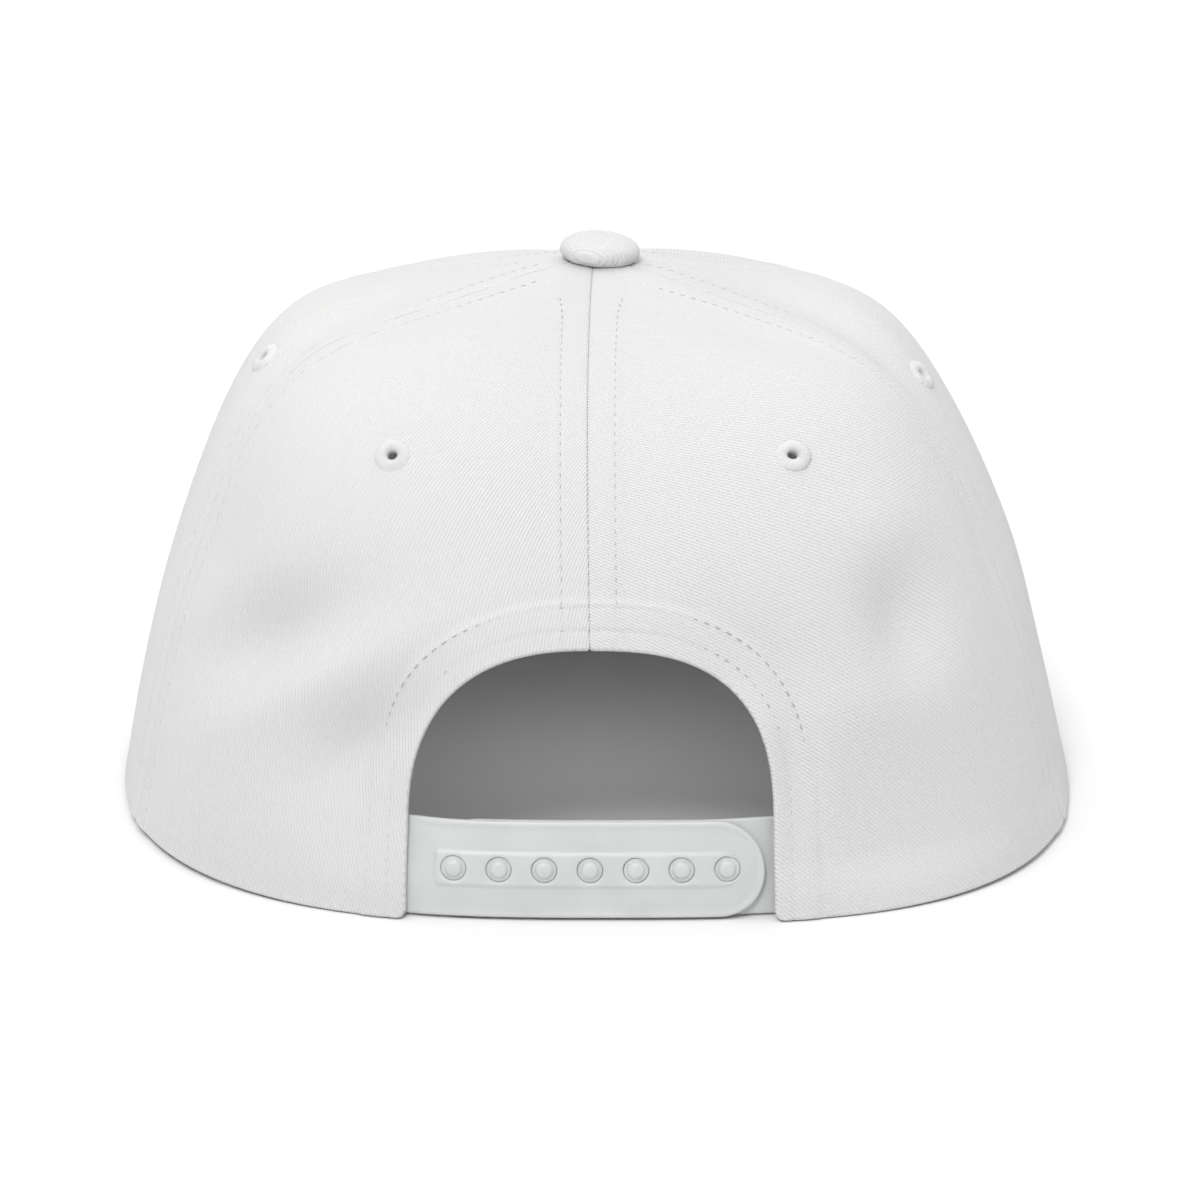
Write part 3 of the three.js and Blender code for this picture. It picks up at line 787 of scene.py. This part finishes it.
def make_button(material):
    points = button_points(BUTTON_SIDES)
    faces = tube_faces(BUTTON_RINGS, BUTTON_SIDES)
    c, s = cos_sin(BUTTON_TILT)
    x = points[:, 0] * c - points[:, 2] * s
    z = points[:, 2] * c + points[:, 0] * s
    placed = np.stack([x + BUTTON_SHIFT, points[:, 1], z + APEX + BUTTON_RAISE], 1)
    c, s = cos_sin(BUTTON_GRAIN)
    grain = np.stack([points[:, 1] * c + points[:, 0] * s, points[:, 0] * c - points[:, 1] * s], 1)
    piece = make_object("button_cloth", placed, faces, material, {"grain": grain})
    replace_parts(piece, "button")


# The bill

BILL_ROWS = 8
BILL_ROW_FIRST, BILL_ROW_PITCH = 5.0, 6.4
BILL_OFFSETS = [BILL_ROW_FIRST + BILL_ROW_PITCH * k for k in range(BILL_ROWS)]
BILL_GROOVE, BILL_GROOVE_REACH, BILL_GROOVE_HALF, BILL_PILLOW = 0.28, 0.55, 0.6, 0.10
BILL_ROUND, BILL_UNDER_CROWN, BILL_GRAIN = 1.2, 0.2, 38
BEHIND = [[0, 200]]


def bill_edge(count):
    """The bill's outer edge from the wearer's left round the tip, with its inward directions."""
    angle = np.linspace(0, 180, count) * DEGREE
    c, s = np.cos(angle), np.abs(np.sin(angle))
    x = BILL["half_width"] * np.sign(c) * np.abs(c) ** (2 / BILL["power"])
    y = BILL["middle"] + (BILL["tip"] - BILL["middle"]) * s ** (2 / BILL["power"])
    points = np.stack([x, y], 1)
    length = lengths_along(points)
    at = np.linspace(0, length[-1], count)
    points = np.stack([np.interp(at, length, points[:, i]) for i in range(2)], 1)
    ahead = unit(np.gradient(points, axis=0))
    return points, np.stack([ahead[:, 1], -ahead[:, 0]], 1)


def crown_foot(inset, count):
    """The crown's foot over the bill, from right to left round the front, and that far outwards."""
    turn = np.linspace(-BILL_CORNER, BILL_CORNER - 360, count)
    return smooth_point(turn, np.zeros(count))[:, :2], outward(turn, np.zeros(count))[:, :2] * inset


def bill_height(points, edge, foot):
    """The height of the bill's upper face, with its grooves and the pillows between them."""
    far = distance_to(points, edge)
    groove = sum(np.exp(-(((far - offset) / BILL_GROOVE_REACH) ** 2)) for offset in BILL_OFFSETS)
    pillow = BILL_PILLOW * np.cos((far - BILL_ROW_FIRST) / BILL_ROW_PITCH * 2 * math.pi + math.pi)
    inside = inside_polygon(points, np.concatenate([foot, BEHIND]))
    raised = np.where(inside | (far < 2), 0, pillow)
    height = BILL["thickness"] - BILL_GROOVE * groove * ~inside + raised
    return np.where(inside, BILL["thickness"] - BILL_UNDER_CROWN, height)


def bill_stitches(edge, inward, foot, material):
    lines = []
    for offset in BILL_OFFSETS:
        line = edge + inward * offset
        shown = ~inside_polygon(line, np.concatenate([foot, BEHIND]))
        shown &= line[:, 1] < BILL["middle"] + 2
        runs = np.split(line[shown], np.where(np.diff(np.flatnonzero(shown)) > 1)[0] + 1)
        for run in runs:
            if len(run) > 6:
                height = np.full(len(run), BILL["thickness"] - BILL_GROOVE)
                normals = np.tile([0.0, 0.0, 1.0], (len(run), 1))
                lines.append(stitch_row(np.column_stack([run, height]), normals, **BILL_STITCH))
    join_rows("bill_stitches", lines, material)


def make_bill(cloth, thread):
    step = 1.3
    edge, inward = bill_edge(int(420 / step))
    foot, out = crown_foot(BILL_TUCK - BILL_ROUND, int(260 / step))
    front = (edge + inward * BILL_ROUND)[::-1]
    outline = anticlockwise(np.concatenate([front, (foot - out)[::-1]]))
    rows = [edge + inward * (BILL_ROUND + more) for more in (0.5, 1.1)]
    for offset in BILL_OFFSETS:
        for more in (-BILL_GROOVE_HALF, 0, BILL_GROOVE_HALF):
            rows.append(edge + inward * (offset + more))
    points, triangles = fill_outline(outline, step, (), rows)
    face = np.column_stack([points, bill_height(points, edge, foot)])
    back = np.column_stack([points, np.zeros(len(points))])
    directions = edge_directions(outline, np.ones(len(outline)))

    def middle_rows(first, count):
        for angle in BOARD_ROLL:
            moved = points[first:first + count] + directions * BILL_ROUND * math.sin(angle * DEGREE)
            share = (1 - math.cos(angle * DEGREE)) / 2
            yield np.column_stack([moved, face[first:first + count, 2] * (1 - share)])

    all_points, faces = two_faced(face, back, triangles, [(0, len(outline))], middle_rows)
    c, s = cos_sin(BILL_GRAIN)
    x, y = points[:, 0], points[:, 1]
    grain = np.column_stack([x * c + y * s, y * c - x * s])
    edges = np.tile(grain[:len(outline)], (len(BOARD_ROLL), 1))
    uvs = {"grain": np.concatenate([grain, grain, edges])}
    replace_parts(make_object("bill_cloth", all_points, faces, cloth, uvs), "bill")
    bill_stitches(edge, inward, foot + out * 0.3, thread)


# The strap

STRAP = {"bottom": 0.6, "top": 20.1, "thickness": 1.2}
OUTER_DEPTH, INNER_DEPTH = 2.0, 3.5
OUTER_STRAP, INNER_STRAP = (50.0, -33.4), (33.0, -50.0)
STEP_FROM, STEP_TO, STEP_DEPTH = -34.0, -43.0, 2.3
BAND = {"from": 31.5, "to": -28.2, "height": 6.8, "proud": 0.45}
HOLE_XS = [28.0 - 8.95 * i for i in range(7)]
HOLE_RADIUS, HOLE_SIDES, HOLE_ROUND = 2.5, 40, 0.25
STRAP_MIDDLE = (STRAP["bottom"] + STRAP["top"]) / 2
STRAP_ROUND, STRAP_BEAD, HOLE_DIP = 0.4, 0.22, 0.1
FOLLOWS_CLOTH_FROM, FOLLOWS_CLOTH_TO = 20, 34
PEG_PROFILE = (
    # distance from its middle, height over the half that it stands on
    (0.0, 2.2), (0.5, 2.17), (1.0, 2.1), (1.35, 1.97), (1.58, 1.8), (1.66, 1.62), (1.7, 1.54),
    (2.2, 1.52), (2.4, 1.46), (2.47, 1.3), (2.47, -0.3),
)
PEG_SIDES = 32


def strap_point(x, z, depth):
    """A place on the strap at a depth under the smooth form; near its ends it follows the cloth."""
    x, z = np.asarray(x, float), np.asarray(z, float)
    turn = on_cloth(x, np.full(x.shape, STRAP_MIDDLE))[0]
    point = smooth_point(turn, z)
    follows = smoothstep(FOLLOWS_CLOTH_FROM, FOLLOWS_CLOTH_TO, np.abs(x))
    moved = relief(turn, z, point) * follows
    return point + outward(turn, z) * (moved - depth)[..., None]


def strap_outline(free, hidden, step, inset):
    """A bar with one round end as x and z, from the hidden end's foot to its upper corner."""
    radius = (STRAP["top"] - STRAP["bottom"]) / 2 - inset
    way = 1 if free < hidden else -1
    centre = free + way * (radius + inset)
    angle = np.linspace(-90, 90, int(math.pi * radius / step)) * DEGREE
    x = centre - way * radius * np.cos(angle)
    z = STRAP_MIDDLE + radius * np.sin(angle)
    count = int(abs(hidden - centre) / step)
    flat_x = np.linspace(hidden, centre, count)[:-1]
    return np.concatenate([
        np.column_stack([flat_x, np.full(len(flat_x), STRAP_MIDDLE - radius)]),
        np.column_stack([x, z]),
        np.column_stack([flat_x[::-1], np.full(len(flat_x), STRAP_MIDDLE + radius)]),
    ])


def as_seen(line):
    """x and z as a flat outline, anticlockwise as seen from behind, where +X is to the left."""
    return anticlockwise(np.column_stack([-line[:, 0], line[:, 1]]))


def band_level(x, z):
    """How far into the raised band a place is, in millimetres."""
    half = BAND["height"] / 2
    centre = BAND["to"] + half
    past = np.minimum(x - centre, 0)
    across = half - np.hypot(past, z - STRAP_MIDDLE)
    return np.minimum(across, BAND["from"] - x)


def band_rows(step):
    """Lines of points along the edge of the raised band and round each hole."""
    rows = []
    half = BAND["height"] / 2
    for more in (-0.3, 0.05, 0.4):
        z = STRAP_MIDDLE + (half - more)
        xs = np.arange(BAND["to"] + half, BAND["from"], step)
        rows.append(np.column_stack([-xs, np.full(len(xs), z)]))
        rows.append(np.column_stack([-xs, np.full(len(xs), 2 * STRAP_MIDDLE - z)]))
        zs = np.arange(STRAP_MIDDLE - half, STRAP_MIDDLE + half, step)
        rows.append(np.column_stack([np.full(len(zs), more - BAND["from"]), zs]))
        bend = circle(np.array([-(BAND["to"] + half), STRAP_MIDDLE]), half - more, HOLE_SIDES)
        rows.append(bend[bend[:, 0] > -(BAND["to"] + half)])
    for x in HOLE_XS:
        rows.append(circle(np.array([-x, STRAP_MIDDLE]), HOLE_RADIUS + 0.55, HOLE_SIDES))
    return rows


def strap_shell(free, hidden, depth_at, holes, level_at):
    """One half of the strap: (vertices, faces)."""
    step = 0.55
    outline = as_seen(strap_outline(free, hidden, step, STRAP_ROUND))
    wide = HOLE_RADIUS + HOLE_ROUND
    loops = [circle(np.array([-x, STRAP_MIDDLE]), wide, HOLE_SIDES) for x in holes]
    rows = []
    for more in (0.3, 0.6, 1.0, 1.5):
        rows.append(as_seen(strap_outline(free, hidden, step, STRAP_ROUND + more)))
    if holes:
        rows += band_rows(step)
    points, triangles = fill_outline(outline, step, loops, rows)
    x, z = -points[:, 0], points[:, 1]
    level = level_at(x, z, distance_to(points, outline) + STRAP_ROUND)
    face = strap_point(x, z, depth_at(x) - level)
    back = strap_point(x, z, depth_at(x) + STRAP["thickness"])
    runs = edge_runs(outline, loops)
    directions = {0: edge_directions(outline, np.ones(len(outline))) * STRAP_ROUND}
    for loop, (start, count) in zip(loops, runs[1:]):
        directions[start] = edge_directions(loop, np.ones(count)) * HOLE_ROUND

    def middle_rows(first, count):
        for angle in BOARD_ROLL:
            moved = points[first:first + count] + directions[first] * math.sin(angle * DEGREE)
            share = (1 - math.cos(angle * DEGREE)) / 2
            depth = depth_at(-moved[:, 0])
            upper = (depth - level[first:first + count]) * (1 - share)
            lower = (depth + STRAP["thickness"]) * share
            yield strap_point(-moved[:, 0], moved[:, 1], upper + lower)

    return two_faced(face, back, triangles, runs, middle_rows)


def outer_level(x, z, edge):
    """How proud the outer half is of its depth: a bead round it, the band, a dip at each hole."""
    bead = STRAP_BEAD * (1 - smoothstep(0.9, 1.3, edge)) * (1 - smoothstep(34, 36, x))
    band = BAND["proud"] * smoothstep(-0.15, 0.25, band_level(x, z))
    near = np.min([np.hypot(x - at, z - STRAP_MIDDLE) for at in HOLE_XS], 0)
    return bead + band - HOLE_DIP * (1 - smoothstep(2.8, 3.2, near))


def plain_level(x, z, edge):
    return np.zeros(len(x))


def outer_depth(x):
    return np.full(np.shape(x), OUTER_DEPTH)


def inner_depth(x):
    share = smoothstep(0, 1, (np.asarray(x) - STEP_FROM) / (STEP_TO - STEP_FROM))
    return INNER_DEPTH + (STEP_DEPTH - INNER_DEPTH) * share


def peg(at, total):
    """A peg on the inner half: rings of points from its top down, and faces numbered from total."""
    sides = PEG_SIDES
    angle = np.linspace(0, 2 * math.pi, sides, endpoint=False)
    x, z = np.array(at), np.array(STRAP_MIDDLE)
    middle = strap_point(x, z, INNER_DEPTH)
    normal = outward(on_cloth(x, z)[0], z)
    across = unit(np.cross(normal, [0.0, 0.0, 1.0]))
    ring = np.cos(angle)[:, None] * across + np.sin(angle)[:, None] * np.cross(across, normal)
    points = [middle + ring * radius + normal * height for radius, height in PEG_PROFILE]
    faces = [(a, d, c, b) for a, b, c, d in tube_faces(len(PEG_PROFILE), sides, total)]
    faces.append(tuple(total + (len(PEG_PROFILE) - 1) * sides + j for j in range(sides)))
    return np.concatenate(points), faces


def make_straps(material):
    points, faces = strap_shell(OUTER_STRAP[1], OUTER_STRAP[0], outer_depth, HOLE_XS, outer_level)
    outer = make_object("strap_outer_half", points, faces, material)
    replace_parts(outer, "snap_strap_outer")
    points, faces = strap_shell(INNER_STRAP[0], INNER_STRAP[1], inner_depth, [], plain_level)
    for at in HOLE_XS:
        more_points, more_faces = peg(at, len(points))
        points = np.concatenate([points, more_points])
        faces = faces + more_faces
    inner = make_object("strap_inner_half", points, faces, material)
    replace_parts(inner, "snap_strap_inner")


# Materials

def add(tree, kind, values=None, **settings):
    node = tree.nodes.new(kind)
    for key, value in settings.items():
        setattr(node, key, value)
    for key, value in (values or {}).items():
        node.inputs[key].default_value = value
    return node


def math_node(tree, operation, first, second=None):
    node = add(tree, "ShaderNodeMath", operation=operation)
    for i, source in enumerate((first, second)):
        if source is None:
            continue
        if isinstance(source, (int, float)):
            node.inputs[i].default_value = source
        else:
            tree.links.new(source, node.inputs[i])
    return node.outputs[0]


def noise(tree, coordinates, scale, detail=3.0):
    node = add(tree, "ShaderNodeTexNoise", {"Scale": scale, "Detail": detail})
    tree.links.new(coordinates, node.inputs["Vector"])
    return node.outputs["Fac"]


def vary(tree, source, low, high, socket):
    """source's 0.3 to 0.7 spread over low to high, into a shader's socket."""
    spread = {"From Min": 0.3, "From Max": 0.7, "To Min": low, "To Max": high}
    node = add(tree, "ShaderNodeMapRange", spread)
    tree.links.new(source, node.inputs["Value"])
    tree.links.new(node.outputs["Result"], socket)


def tint(tree, source, dark, light, socket):
    """A colour between dark and light, as source goes from 0.25 to 0.75, into a shader's socket."""
    node = add(tree, "ShaderNodeValToRGB")
    for end, position, colour in zip(node.color_ramp.elements, (0.25, 0.75), (dark, light)):
        end.position = position
        end.color = (*colour, 1)
    tree.links.new(source, node.inputs["Fac"])
    tree.links.new(node.outputs["Color"], socket)


def add_bump(tree, shader, height, strength, distance):
    bump = add(tree, "ShaderNodeBump", {"Strength": strength, "Distance": distance})
    tree.links.new(height, bump.inputs["Height"])
    tree.links.new(bump.outputs["Normal"], shader.inputs["Normal"])


def new_material(name):
    """A material with its tree, its shader and the coordinates of the piece that it is on."""
    material = bpy.data.materials.new(name)
    material.use_nodes = True
    tree = material.node_tree
    place = add(tree, "ShaderNodeTexCoord").outputs["Object"]
    return material, tree, tree.nodes["Principled BSDF"], place


TWILL_PITCH, YARN_PITCH = 0.72, 1.1


def twill_material():
    """White twill: diagonal ridges that follow each piece's grain, with fine fibre over them, and
    painted shade that darkens the colour in the ridges' valleys.
    """
    material, tree, shader, place = new_material("white_twill")
    grain = add(tree, "ShaderNodeUVMap", uv_map="grain").outputs["UV"]
    parts = add(tree, "ShaderNodeSeparateXYZ")
    tree.links.new(grain, parts.inputs[0])
    wander = noise(tree, place, 60.0, 2.0)
    across = math_node(tree, "MULTIPLY", parts.outputs["X"], 2 * math.pi / TWILL_PITCH)
    across = math_node(tree, "ADD", across, math_node(tree, "MULTIPLY", wander, 2.5))
    ridge = math_node(tree, "SINE", across)
    along = math_node(tree, "MULTIPLY", parts.outputs["Y"], 2 * math.pi / YARN_PITCH)
    along = math_node(tree, "ADD", along, math_node(tree, "MULTIPLY", across, 0.5))
    yarn = math_node(tree, "SINE", along)
    fibre = noise(tree, place, 2600.0, 2.0)
    patch = noise(tree, place, 260.0, 3.0)
    height = math_node(tree, "ADD", ridge, math_node(tree, "MULTIPLY", yarn, 0.25))
    height = math_node(tree, "ADD", height, math_node(tree, "MULTIPLY", fibre, 0.3))
    height = math_node(tree, "ADD", height, math_node(tree, "MULTIPLY", patch, 0.2))
    add_bump(tree, shader, height, 0.5, 0.00015)
    # Painted shade: the colour darkens a little in the twill's valleys, with random fibre tone over
    # it.
    valley_shade_and_fibre = math_node(tree, "ADD", math_node(tree, "MULTIPLY", ridge, 0.2), fibre)
    tint(tree, valley_shade_and_fibre, (0.615, 0.615, 0.612), (0.67, 0.67, 0.667), shader.inputs["Base Color"])
    vary(tree, patch, 0.82, 0.95, shader.inputs["Roughness"])
    shader.inputs["Specular IOR Level"].default_value = 0.25
    shader.inputs["Sheen Weight"].default_value = 0.2
    shader.inputs["Sheen Roughness"].default_value = 0.5
    return material


def thread_material(name, dark, light):
    material, tree, shader, place = new_material(name)
    fibre = noise(tree, place, 1800.0, 2.0)
    patch = noise(tree, place, 300.0, 2.0)
    add_bump(tree, shader, fibre, 0.5, 0.00006)
    tint(tree, patch, (dark,) * 3, (light,) * 3, shader.inputs["Base Color"])
    vary(tree, fibre, 0.6, 0.8, shader.inputs["Roughness"])
    shader.inputs["Specular IOR Level"].default_value = 0.35
    return material


def plastic_material():
    """Milky soft plastic with a low sheen."""
    material, tree, shader, place = new_material("milky_plastic")
    haze = noise(tree, place, 120.0, 3.0)
    grain = noise(tree, place, 3000.0, 2.0)
    add_bump(tree, shader, grain, 0.12, 0.00003)
    tint(tree, haze, (0.56, 0.57, 0.57), (0.61, 0.62, 0.62), shader.inputs["Base Color"])
    vary(tree, haze, 0.34, 0.48, shader.inputs["Roughness"])
    shader.inputs["Subsurface Weight"].default_value = 0.25
    shader.inputs["Subsurface Radius"].default_value = (0.002, 0.002, 0.002)
    shader.inputs["Subsurface Scale"].default_value = 1.0
    return material


def floor_material():
    material, tree, shader, place = new_material("white_floor")
    haze = noise(tree, place, 3.0, 2.0)
    tint(tree, haze, (0.785, 0.785, 0.785), (0.80, 0.80, 0.80), shader.inputs["Base Color"])
    vary(tree, haze, 0.88, 0.95, shader.inputs["Roughness"])
    shader.inputs["Specular IOR Level"].default_value = 0.0
    return material


# Camera, floor and light

CAMERA_ELEVATION, CAMERA_DISTANCE, LENS = 18.36, 1.2, 172.32
AIM = Vector((-0.0008, 0.0333, 0.0334))
FLOOR_HALF, FLOOR_DROP = 6.0, 0.0001
LIGHTS = (
    # name, place, size, power, what it points at
    ("overhead", (0.1, -0.2, 2.0), 4.0, 47, (0, 0, 0.05)),
    ("rear_high", (0.4, 1.75, 1.9), 0.7, 25, (0, 0, 0.05)),
    ("glow_through_cloth", (0.0, 0.045, 0.07), 0.05, 0.0115, (0.0, 0.045, 0.0)),
)
WORLD_STRENGTH = 0.54


def look_at(piece, target):
    piece.rotation_euler = (target - piece.location).to_track_quat("-Z", "Y").to_euler()


def make_camera():
    camera = new_object("camera", bpy.data.cameras.new("camera"))
    camera.data.lens = LENS
    camera.data.sensor_width = 36
    camera.data.clip_end = 50
    rise = CAMERA_ELEVATION * DEGREE
    camera.location = AIM + Vector((0, math.cos(rise), math.sin(rise))) * CAMERA_DISTANCE
    look_at(camera, AIM)
    bpy.context.scene.camera = camera


def make_floor(material):
    mesh = bpy.data.meshes.new("floor")
    corners = [(x * FLOOR_HALF, y * FLOOR_HALF, 0) for x, y in ((-1, -1), (1, -1), (1, 1), (-1, 1))]
    mesh.from_pydata(corners, [], [(0, 1, 2, 3)])
    mesh.materials.append(material)
    floor = new_object("floor", mesh)
    floor.location.z = -FLOOR_DROP


def make_light(name, place, size, power, target):
    light = new_object(name, bpy.data.lights.new(name, "AREA"))
    light.data.shape = "DISK"
    light.data.size = size
    light.data.energy = power
    light.location = place
    look_at(light, Vector(target))


def make_world(strength):
    world = bpy.data.worlds.new("studio")
    world.use_nodes = True
    background = world.node_tree.nodes["Background"]
    background.inputs["Color"].default_value = (1, 1, 1, 1)
    background.inputs["Strength"].default_value = strength
    bpy.context.scene.world = world


make_camera()
make_world(WORLD_STRENGTH)
for light in LIGHTS:
    make_light(*light)
make_floor(floor_material())

TWILL, PLASTIC = twill_material(), plastic_material()
EMBROIDERY = thread_material("embroidery_thread", 0.60, 0.66)
# The white thread's colour is painted dark grey: painted shade for the shadow in the stitch grooves
# and needle holes, on the crown and the bill.
THREAD_PAINTED_SHADE = thread_material("sewing_thread_painted_shade", 0.34, 0.44)
for panel in PANELS:
    make_panel(*panel, TWILL)
crown_stitches(THREAD_PAINTED_SHADE)
for node_name, *place_on_crown, ring_tilt in EYELETS:
    make_eyelet(node_name, ring_tilt, EMBROIDERY)
make_button(TWILL)
make_bill(TWILL, THREAD_PAINTED_SHADE)
make_straps(PLASTIC)
bpy.context.scene.view_settings.view_transform = "Standard"
